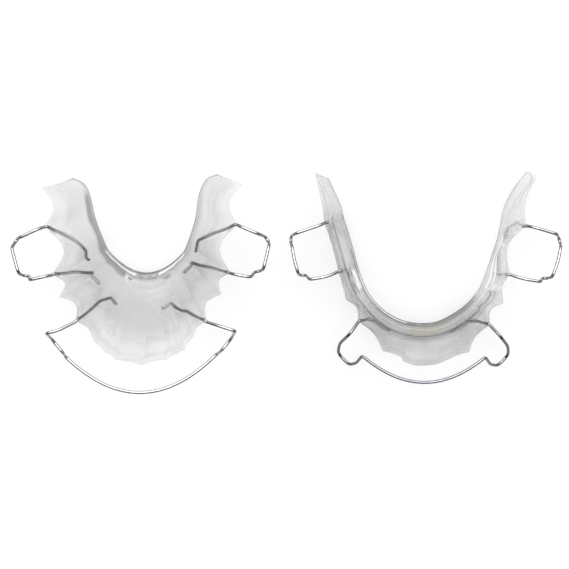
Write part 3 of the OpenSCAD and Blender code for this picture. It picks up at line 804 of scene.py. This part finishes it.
def attribute(tree, name):
    return node(tree, "ShaderNodeAttribute", attribute_name=name).outputs["Fac"]


def parts(vector):
    """The X, Y and Z of a vector."""
    return node(vector.id_data, "ShaderNodeSeparateXYZ", in_0=vector).outputs


def noise(vector, scale, detail, roughness=0.5):
    return node(vector.id_data, "ShaderNodeTexNoise", in_Vector=vector, in_Scale=scale,
                in_Detail=detail, in_Roughness=roughness).outputs["Fac"]


def bump(height, strength, distance, **on_top_of):
    return node(height.id_data, "ShaderNodeBump", in_Height=height, in_Strength=strength,
                in_Distance=distance, **on_top_of).outputs["Normal"]


def mixed_colour(factor, a, b):
    """Colour a, turning into colour b as the factor goes from 0 to 1."""
    return node(factor.id_data, "ShaderNodeMix", data_type="RGBA", in_Factor=factor, in_A=a,
                in_B=b).outputs["Result"]


def mixed_shader(factor, a, b):
    """Shader node a, turning into shader node b as the factor goes from 0 to 1."""
    return node(factor.id_data, "ShaderNodeMixShader", in_0=factor, in_1=a.outputs[0],
                in_2=b.outputs[0])


# %% Materials and node groups
def new_finish(name):
    """A material, and its node tree with nothing in it yet."""
    material = bpy.data.materials.new(name)
    material.use_nodes = True
    material.node_tree.nodes.clear()
    return material, material.node_tree


def new_group(name, inputs, outputs):
    """A shader node group with float or vector inputs (name, default) and float
    outputs. Returns the group, what it is given and what it gives."""
    group = bpy.data.node_groups.new(name, "ShaderNodeTree")
    for title, default in inputs:
        kind = "NodeSocketVector" if default is None else "NodeSocketFloat"
        socket = group.interface.new_socket(name=title, in_out="INPUT", socket_type=kind)
        if default is not None:
            socket.default_value = default
    for title in outputs:
        group.interface.new_socket(name=title, in_out="OUTPUT", socket_type="NodeSocketFloat")
    given, gives = group.nodes.new("NodeGroupInput"), group.nodes.new("NodeGroupOutput")
    return group, given.outputs, gives.inputs


def use_group(group, vector, **values):
    """The outputs of the group at that vector, with its other inputs set by name."""
    return node(vector.id_data, "ShaderNodeGroup", node_tree=group, in_Vector=vector,
                **{"in_" + key: value for key, value in values.items()}).outputs


# %% [markdown]
# ## Two effects that several finishes share
#
# **Uneven cast.** Acrylic that is sprinkled and wetted by hand cures a little unevenly,
# and polishing leaves soft waves. Two sizes of noise stand for that.
#
# **Handling scratches.** Anything that is put in and taken out every day gets hair
# scratches. Cells stretched forty to one are long and thin; the edge between two cells
# is kept as the scratch, and a slow noise decides where there are any.

# %% Group: uneven cast
uneven_cast, given, gives = new_group(
    "uneven cast", [("Vector", None), ("Scale", 150.0), ("Fine share", 0.3)], ["Cloud", "Height"])
broad = noise(given["Vector"], given["Scale"], 2.0, 0.45)
fine = noise(given["Vector"], times(given["Scale"], 5.3), 3.0, 0.55)
both = plus(broad, times(fine, given["Fine share"]))
feed(gives["Cloud"], eased_range(both, 0.45, 0.85))
feed(gives["Height"], both)

# %% Group: handling scratches
scratches, given, gives = new_group(
    "handling scratches", [("Vector", None), ("Scale", 60.0), ("Turn", 0.6)], ["Mask", "Height"])
tree = scratches
turned = node(tree, "ShaderNodeVectorRotate", rotation_type="Z_AXIS", in_Vector=given["Vector"],
              in_Angle=given["Turn"])
stretched = node(tree, "ShaderNodeMapping", in_Vector=turned.outputs["Vector"],
                 in_Scale=(1.0, 40.0, 6.0))
cells = node(tree, "ShaderNodeTexVoronoi", feature="DISTANCE_TO_EDGE",
             in_Vector=stretched.outputs["Vector"], in_Scale=given["Scale"])
hair = eased_range(cells.outputs["Distance"], 0.0, 0.03, 1.0, 0.0)
where = noise(given["Vector"], times(given["Scale"], 3.0), 1.0)
mask = times(hair, eased_range(where, 0.5, 0.62))
feed(gives["Mask"], mask)
feed(gives["Height"], minus(1.0, mask))

# %% [markdown]
# ## Streaks and lines that follow the plate
#
# The polished border shows streaks that run along it and curve with it, where the bur and the
# polishing wheel have gone. Their relief is real. The dark band they are drawn in is painted shade,
# for the light that the thick rolled border bends away. They follow the plate and not space, so
# they read the plate's own map: a noise that is stretched along the plate. The slow waviness is
# added before stretching, so that no streak is perfectly parallel.
#
# A rolled border also bends the light into narrow bright and dark lines, and these are painted on.
# A second group draws one such painted line: how far across the plate it lies, how wide it is,
# where along the plate it starts and stops, and whether it is broken.

# %% Group: border streaks
border_streaks, given, gives = new_group(
    "border streaks", [("Vector", None), ("Across", 60.0), ("Along", 9.0), ("Contrast", 0.5)],
    ["Streak", "Height"])
tree = border_streaks
at = parts(given["Vector"])
wavy = plus(at["Y"], times(noise(given["Vector"], 11.0, 1.0), 0.05))
stretched = node(tree, "ShaderNodeCombineXYZ", in_X=times(at["X"], given["Along"]),
                 in_Y=times(wavy, given["Across"]))
streak = noise(stretched.outputs["Vector"], 1.0, 3.0, 0.6)
half_gap = times(minus(1.0, given["Contrast"]), 0.3)
feed(gives["Streak"], eased_range(streak, minus(0.48, half_gap), plus(0.54, half_gap)))
feed(gives["Height"], streak)

# %% Group: line along the plate
LINE_END = 0.012
painted_plate_line, given, gives = new_group(
    "line along the plate", [("Vector", None), ("Across", 0.9), ("Half width", 0.01),
                             ("From", 0.2), ("To", 0.8), ("Broken", 0.0)], ["Mask"])
at = parts(given["Vector"])
off = math_node("ABSOLUTE", minus(at["Y"], given["Across"]))
near = eased_range(math_node("DIVIDE", off, given["Half width"]), 0.35, 1.0, 1.0, 0.0)
begun = eased_range(minus(at["X"], given["From"]), 0.0, LINE_END)
to_go = eased_range(minus(given["To"], at["X"]), 0.0, LINE_END)
gap = eased_range(noise(given["Vector"], 34.0, 2.0), 0.42, 0.56, 1.0, 0.0)
whole = minus(1.0, times(gap, given["Broken"]))
feed(gives["Mask"], times(near, begun, to_go, whole))

# %% [markdown]
# ## Clear acrylic
#
# The plates are clear, but they don't look like window glass. The tissue side copies
# the gum and can't be polished, so what is seen through a plate is softened, and the
# plate as a whole looks light grey. In the shader that is a slightly rough glass with
# the index of acrylic, 1.49, under a smooth coat for the polished side. The rear arms
# of the lower plate look frosted, so there the glass is rougher.
#
# How grey a place looks is set by the tone attribute of the mesh: 1 where the plate looks darkest,
# in the palate and the lower bar, and less where it looks lighter. Part of it is the acrylic's own
# grey, deeper where the light passes more acrylic. Part is painted shade, for the refraction and
# the shadow under the plate. Thin stretches bend the light very little, so there the glass is mixed
# with a sheet that lets the rays straight through.
#
# The narrow lines come last, painted onto the plate. The dark ones are painted shade, where the
# polished border and its channels bend the light away, and there the glass gives way to the
# straight sheet. The white ones are painted highlights, lamps seen in the polish. A lamp is far
# brighter than its surroundings, and a painted white never gets as bright, so they give off a
# little light of their own.
#
# Lamps have to reach the table through the plates. A path tracer would need very many
# rays to find them through glass, so for shadow rays alone the plate is simply thin
# and see-through.

# %% The acrylic finish, with each plate's own bands and lines
ACRYLIC_INDEX = 1.49
# Lines lighter than this grey are painted highlights that glow. Darker lines are painted shade.
PAINTED_GLINT_GREY = 0.9


def clear_acrylic(name, tint, deep, thin_part, rear, frost, band, band_tint, uv_centre, lines,
                  extra=None):
    """band is (from, to, softness, streaks across, streaks along) in the plate's map, from the edge
    at 0 to the border at 1. band_tint is painted shade that darkens the streaks in it. Each of the
    lines is (across, half width, from, to, broken, grey, share) and is a painted line of shade; one
    lighter than PAINTED_GLINT_GREY is a painted highlight that glows. rear is (from, to, share of
    the straight sheet) and frost (from, to, roughness), both by the distance from the middle of the
    map. extra is one more tint over a part of the map."""
    material, tree = new_finish(name)
    place, wall = object_place(tree), own_map(tree, "plate_uv")
    at = parts(wall)
    cast = use_group(uneven_cast, place, Scale=130.0, Fine_share=0.35)
    hairs = use_group(scratches, place, Scale=55.0, Turn=0.7)
    streaks = use_group(border_streaks, wall, Across=band[3], Along=band[4], Contrast=0.6)
    from_middle = math_node("ABSOLUTE", minus(at["X"], uv_centre))
    in_band = times(between(at["Y"], *band[:3]), eased_range(from_middle, 0.22, 0.5, 1.0, 0.3))
    streaked = times(in_band, eased_range(streaks["Streak"], 0.0, 1.0, 0.35, 1.0))
    # Partly painted shade: the tone attribute darkens the tint towards deep.
    depth = plus(times(attribute(tree, "tone"), 0.85), times(cast["Cloud"], 0.15))
    base = mixed_colour(depth, tint, deep)
    # Painted shade: in the band along the border, the streaks darken the colour towards band_tint.
    base = mixed_colour(streaked, base, band_tint)
    if extra:
        zone = times(between(at["Y"], *extra["across"]), between(at["X"], *extra["along"]),
                     extra["share"])
        base = mixed_colour(zone, base, extra["tint"])
    painted_shade_lines, painted_glint_lines = 0.0, 0.0
    # Each line is painted into the base colour: painted shade where it is dark, painted highlight
    # where it is light.
    for v, half, start, end, broken, grey, strength in lines:
        line = use_group(painted_plate_line, wall, Across=v, Half_width=half, From=start, To=end,
                         Broken=broken)
        mask = times(line["Mask"], strength)
        base = mixed_colour(mask, base, (grey, grey, grey))
        if grey > PAINTED_GLINT_GREY:
            painted_glint_lines = larger(mask, painted_glint_lines)
        else:
            painted_shade_lines = larger(mask, painted_shade_lines)
    # Painted shade: along the rolled border the base colour darkens to a dark grey, the more
    # steeply it is seen.
    facing = node(tree, "ShaderNodeLayerWeight", in_Blend=0.5).outputs["Facing"]
    painted_rim_shade = times(eased_range(facing, 0.35, 0.95, 0.0, 0.9), eased_range(at["Y"], 0.75, 0.9))
    base = mixed_colour(painted_rim_shade, base, (0.2, 0.2, 0.2))
    rough = plus(eased_range(cast["Cloud"], 0.0, 1.0, 0.12, 0.2), times(hairs["Mask"], 0.18))
    rough = larger(rough, eased_range(from_middle, frost[0], frost[1], 0.0, frost[2]))
    relief = plus(times(cast["Height"], 0.5), times(streaks["Height"], in_band, 0.3))
    waves = bump(relief, 0.45, 0.0004)
    acrylic = node(tree, "ShaderNodeBsdfPrincipled", in_IOR=ACRYLIC_INDEX, in_Metallic=0.0,
                   in_Transmission_Weight=0.92, in_Coat_Weight=0.35, in_Coat_Roughness=0.03,
                   in_Base_Color=base, in_Roughness=rough,
                   in_Normal=bump(hairs["Height"], 0.12, 0.00002, in_Normal=waves))
    one_side = node(tree, "ShaderNodeGamma", in_Color=base, in_Gamma=0.5)
    straight = node(tree, "ShaderNodeBsdfTransparent", in_Color=one_side.outputs["Color"])
    clearest = larger(eased_range(from_middle, rear[0], rear[1], 0.0, rear[2]),
                      times(painted_shade_lines, 0.9))
    clearest = larger(eased_range(at["Y"], *thin_part), clearest)
    sheet = mixed_shader(clearest, acrylic, straight)
    # The painted highlights glow with light of their own, though they are no lamp.
    painted_glint = node(tree, "ShaderNodeEmission", in_Color=(1.0, 1.0, 1.0), in_Strength=1.0)
    lit = mixed_shader(times(painted_glint_lines, 0.9), sheet, painted_glint)
    shade = node(tree, "ShaderNodeBsdfTransparent", in_Color=(0.93, 0.93, 0.93))
    rays = node(tree, "ShaderNodeLightPath")
    either = mixed_shader(rays.outputs["Is Shadow Ray"], lit, shade)
    node(tree, "ShaderNodeOutputMaterial", in_Surface=either.outputs[0])
    return material


# %% The two plates get their finish
upper_acrylic = clear_acrylic(
    "upper_clear_acrylic", tint=(0.95, 0.95, 0.95), deep=(0.66, 0.66, 0.665),
    thin_part=(0.72, 0.9, 0.7, 0.2), rear=(0.36, 0.44, 0.8), frost=(0.6, 0.7, 0.0),
    band=(0.925, 0.995, 0.02, 46.0, 16.0), band_tint=(0.36, 0.36, 0.36), uv_centre=0.47,
    lines=[(0.92, 0.08, 0.03, 0.28, 0.0, 0.32, 0.8), (0.93, 0.07, 0.74, 0.97, 0.0, 0.5, 0.4),
           (0.99, 0.012, 0.05, 0.95, 0.0, 0.25, 0.75), (0.965, 0.014, 0.12, 0.36, 0.0, 1.0, 0.8),
           (0.965, 0.014, 0.62, 0.86, 0.0, 1.0, 0.8), (0.94, 0.013, 0.1, 0.34, 0.7, 0.35, 0.6),
           (0.94, 0.013, 0.64, 0.88, 0.7, 0.35, 0.6), (0.905, 0.02, 0.24, 0.34, 1.0, 0.25, 0.8),
           (0.9, 0.02, 0.64, 0.74, 1.0, 0.25, 0.7), (0.86, 0.012, 0.3, 0.66, 0.9, 0.4, 0.4)])
lower_acrylic = clear_acrylic(
    "lower_clear_acrylic", tint=(0.95, 0.955, 0.955), deep=(0.3, 0.31, 0.325),
    thin_part=(0.5, 0.62, 0.65, 0.15), rear=(0.425, 0.445, 0.75), frost=(0.27, 0.35, 0.34),
    band=(0.62, 0.955, 0.03, 42.0, 11.0), band_tint=(0.5, 0.5, 0.5), uv_centre=0.5,
    lines=[(0.93, 0.06, 0.25, 0.78, 0.0, 0.34, 0.6), (0.595, 0.035, 0.12, 0.92, 0.0, 0.22, 0.72),
           (0.58, 0.025, 0.42, 0.56, 0.3, 0.1, 0.8),
           (0.828, 0.042, 0.83, 0.941, 0.0, 1.0, 1.0), (0.68, 0.036, 0.838, 0.929, 0.0, 1.0, 1.0),
           (0.895, 0.018, 0.83, 0.945, 0.0, 0.45, 0.7), (0.755, 0.018, 0.833, 0.94, 0.0, 0.3, 0.8),
           (0.635, 0.02, 0.85, 0.93, 0.0, 0.3, 0.8), (0.61, 0.03, 0.822, 0.85, 0.0, 1.0, 0.9),
           (0.7, 0.2, 0.808, 0.822, 0.0, 0.4, 0.6), (0.8, 0.2, 0.95, 0.958, 0.0, 0.6, 0.7),
           (0.8, 0.22, 0.055, 0.08, 0.0, 0.6, 0.7), (0.72, 0.02, 0.64, 0.82, 0.5, 0.4, 0.6),
           (0.925, 0.02, 0.1, 0.5, 0.2, 0.2, 0.8), (0.955, 0.014, 0.14, 0.42, 0.0, 1.0, 0.9),
           (0.99, 0.016, 0.05, 0.8, 0.0, 0.15, 0.8), (0.72, 0.1, 0.13, 0.2, 1.0, 0.25, 0.8),
           (0.84, 0.06, 0.13, 0.19, 1.0, 1.0, 0.8)],
    extra={"tint": (0.45, 0.438, 0.375), "across": (0.68, 0.9, 0.03),
           "along": (0.42, 0.64, 0.07), "share": 0.9})
for piece, material, body, cad in (
        (upper_plate, upper_acrylic, "upper_retainer", "upper_base_plate"),
        (lower_plate, lower_acrylic, "lower_retainer", "lower_base_plate")):
    piece.data.materials.append(material)
    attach(piece, body)
    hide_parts(cad)
    print(piece.name, "rides on", body)

# %% [markdown]
# ## Polished spring steel
#
# Orthodontic wire is drawn through a die and polished, so it is bright with very fine
# lines along its length. Pliers leave small dull marks at the bends. The grain reads the
# wire's own map, which runs along the wire; the plier marks read the bend attribute.
# The flanks of a bright round wire mirror the dark sides of the room. That reflection is painted
# into the colour, darker the more steeply the wire is seen.
#
# Seen through clear acrylic the moulded-in ends look a little duller, so their colour is darkened
# there: painted shade. Where the acrylic is frosted, hardly anything of them comes through, so
# there the steel is mostly see-through. The lower front wire gets a darker copy of the same steel:
# painted shade for the darker surroundings it mirrors.

# %% The steel finish
def spring_steel(name, bright, stained):
    """Chrome-nickel steel with drawn lines along it, hair scratches, and duller bends.
    Its colour wanders slowly between bright and stained."""
    material, tree = new_finish(name)
    place = object_place(tree)
    drawn = node(tree, "ShaderNodeMapping", in_Vector=own_map(tree, "wire_uv"),
                 in_Scale=(0.25, 22.0, 1.0))
    grain = noise(drawn.outputs["Vector"], 1.0, 3.0, 0.65)
    hairs = use_group(scratches, place, Scale=400.0, Turn=0.3)
    stain = use_group(uneven_cast, place, Scale=400.0, Fine_share=0.5)
    nips = eased_range(noise(place, 1600.0, 1.0), 0.45, 0.6)
    pliers = times(eased_range(attribute(tree, "bend"), 0.15, 0.6), nips)
    # Painted reflection: the colour darkens towards the flanks, which mirror the dark sides of the
    # room.
    facing = node(tree, "ShaderNodeLayerWeight", in_Blend=0.5).outputs["Facing"]
    painted_flank_shade = eased_range(facing, 0.1, 0.5, 0.0, 0.82)
    bedded = attribute(tree, "bedded")
    colour = mixed_colour(stain["Cloud"], bright, stained)
    colour = mixed_colour(times(pliers, 0.6), colour, (0.4, 0.4, 0.42))
    colour = mixed_colour(painted_flank_shade, colour, (0.08, 0.08, 0.085))
    # Painted shade: the moulded-in ends are darkened, because they look duller seen through the
    # acrylic.
    colour = mixed_colour(times(bedded, 0.35), colour, (0.2, 0.2, 0.21))
    rough = plus(eased_range(grain, 0.3, 0.7, 0.13, 0.24), times(pliers, 0.14))
    lines = bump(grain, 0.18, 0.00001)
    marks = bump(minus(hairs["Height"], pliers), 0.3, 0.00002, in_Normal=lines)
    steel = node(tree, "ShaderNodeBsdfPrincipled", in_Metallic=1.0, in_Base_Color=colour,
                 in_Roughness=rough, in_Normal=marks)
    veiled = times(larger(times(bedded, -1.0), 0.0), 0.75)
    seen = mixed_shader(veiled, steel, node(tree, "ShaderNodeBsdfTransparent"))
    node(tree, "ShaderNodeOutputMaterial", in_Surface=seen.outputs[0])
    return material


steel = spring_steel("spring_steel", (0.68, 0.69, 0.71), (0.6, 0.61, 0.63))
# A darker copy of the same steel for the lower front wire: painted shade for the darker
# surroundings it mirrors.
shaded_spring_steel = spring_steel("darker_spring_steel", (0.4, 0.41, 0.44), (0.33, 0.34, 0.37))

# %% [markdown]
# ## The wires and the springs of the model
#
# A clasp is sprung open when the retainer is pushed over the teeth. In the model its free part
# turns about the line between its two exits, while the moulded-in ends stay with the plate. The
# wire is one piece. For each wire two points are worked out from its hinge and printed: where a
# bending in the first two or three millimetres outside the exits would start, and where it would
# end.

# %% Start and end of a bending near the exits, for each wire
BENDING = 0.0025
NEAR_EXITS, PAST_REACHING_ENDS = 0.0003, 0.0022


def bodies_and_arms(name):
    """The body of the plate, the body of the spring, and the wire's two moulded-in ends."""
    jaw = name.split("_")[0]
    if name.endswith("bow"):
        return jaw + "_retainer", jaw + "_labial_bow", jaw + "_left_bow_arm", jaw + "_right_bow_arm"
    return jaw + "_retainer", name, name + "_rear_arm", name + "_front_arm"


def spring_line(name, body):
    """Start and end of the bending: on the line square to the hinge, level with the
    table, from just outside the exits to two and a half millimetres further out. The
    lower front wire's moulded-in ends reach forward, so there it starts further out."""
    joint = [j for j in frame["joints"] if j["child"] == body][0]
    print(body, "is carried by", joint["name"])
    low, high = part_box(body)
    centre = (np.array(low) + np.array(high)) / 2
    hinge = np.array(joint["pos_m"], float)
    out = np.cross(np.array(joint["axis"], float), [0, 0, 1.0])
    out[2] = 0
    out /= np.linalg.norm(out)
    out *= np.sign(out @ (centre - hinge))
    first = PAST_REACHING_ENDS if name == "lower_bow" else NEAR_EXITS
    return tuple(hinge + out * first), tuple(hinge + out * (first + BENDING))


# %% The wires get their finish and their place
for name, piece in wires.items():
    plate_body, spring_body, *arms = bodies_and_arms(name)
    piece.data.materials.append(shaded_spring_steel if name == "lower_bow" else steel)
    start, end = spring_line(name, spring_body)
    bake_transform(piece)
    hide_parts(spring_body, *arms)
    print(piece.name, "bends from", [round(1000 * x, 2) for x in start])

# %% [markdown]
# ## Table, light and surroundings
#
# The table is white. Lit plainly it would render light grey, because nothing reflects
# all light, so for the camera, and for mirrors and clear things that show it, it gets
# a little glow of its own. It is still a lit surface, so it keeps the soft shadow.
#
# Clear plastic and polished wire have no colour of their own: they show what is round
# them. With white on all sides they would vanish. A studio leaves the sides a little
# darker, most on the near side, and that darkness draws the edges of the plates and
# the flanks of the wires.

# %% The table
def white_table():
    """A flat square of 1.6 m, a tenth of a millimetre under the set."""
    side = np.linspace(-800, 800, 9)
    x, y = np.meshgrid(side, side, indexing="ij")
    points = np.stack([x, y, 0 * x - 0.1], -1).reshape(-1, 3)
    return new_piece("table", points, grid_quads(9, 9, False).tolist())


def table_finish():
    """Matt white with a glow for camera, mirror and see-through rays."""
    material, tree = new_finish("white_table")
    rays = node(tree, "ShaderNodeLightPath").outputs
    seen = larger(rays["Is Camera Ray"], larger(rays["Is Glossy Ray"], rays["Is Transmission Ray"]))
    matt = node(tree, "ShaderNodeBsdfDiffuse", in_Color=(0.6, 0.6, 0.6))
    glow = node(tree, "ShaderNodeEmission", in_Strength=times(seen, 0.45))
    both = node(tree, "ShaderNodeAddShader", in_0=matt.outputs[0], in_1=glow.outputs[0])
    node(tree, "ShaderNodeOutputMaterial", in_Surface=both.outputs[0])
    return material


table = white_table()
table.data.materials.append(table_finish())


# %% The surroundings
def surroundings():
    """White for what the camera sees behind the table and through clear things, and an
    even white tent for soft light. Mirrors see a studio: bright overhead and at the
    back, dark on all other sides. height + 0.6 back is eased from dark to bright."""
    world = bpy.data.worlds.new("studio")
    bpy.context.scene.world = world
    world.use_nodes = True
    tree = world.node_tree
    tree.nodes.clear()
    at = parts(node(tree, "ShaderNodeTexCoord").outputs["Generated"])
    level = eased_range(plus(at["Z"], times(at["Y"], 0.6)), 0.45, 1.05, 0.02, 1.9)
    rays = node(tree, "ShaderNodeLightPath").outputs
    strength = node(tree, "ShaderNodeMix", data_type="FLOAT", in_Factor=rays["Is Glossy Ray"],
                    in_A=0.8, in_B=level)
    studio = node(tree, "ShaderNodeBackground", in_Color=(1, 1, 1),
                  in_Strength=strength.outputs["Result"])
    white = node(tree, "ShaderNodeBackground", in_Color=(1, 1, 1), in_Strength=1.0)
    behind = larger(rays["Is Camera Ray"], rays["Is Transmission Ray"])
    either = mixed_shader(behind, studio, white)
    node(tree, "ShaderNodeOutputWorld", in_Surface=either.outputs[0])


surroundings()


# %% Two soft lamps
def soft_lamp(name, at, size, power):
    """A square area lamp that looks at the middle of the set."""
    data = bpy.data.lights.new(name, "AREA")
    data.shape, data.size, data.energy = "SQUARE", size, power
    lamp = bpy.data.objects.new(name, data)
    lamp.location = at
    d = -np.array(at)
    lamp.rotation_euler = (math.acos(-d[2] / np.linalg.norm(d)), 0, math.atan2(d[0], -d[1]))
    bpy.context.scene.collection.objects.link(lamp)


soft_lamp("lamp_back_left", (-0.35, 0.45, 0.9), 0.5, 2.5)
soft_lamp("lamp_above", (0.15, 0.05, 1.1), 0.4, 1.5)

# %% Plain view settings
bpy.context.scene.view_settings.view_transform = "Standard"
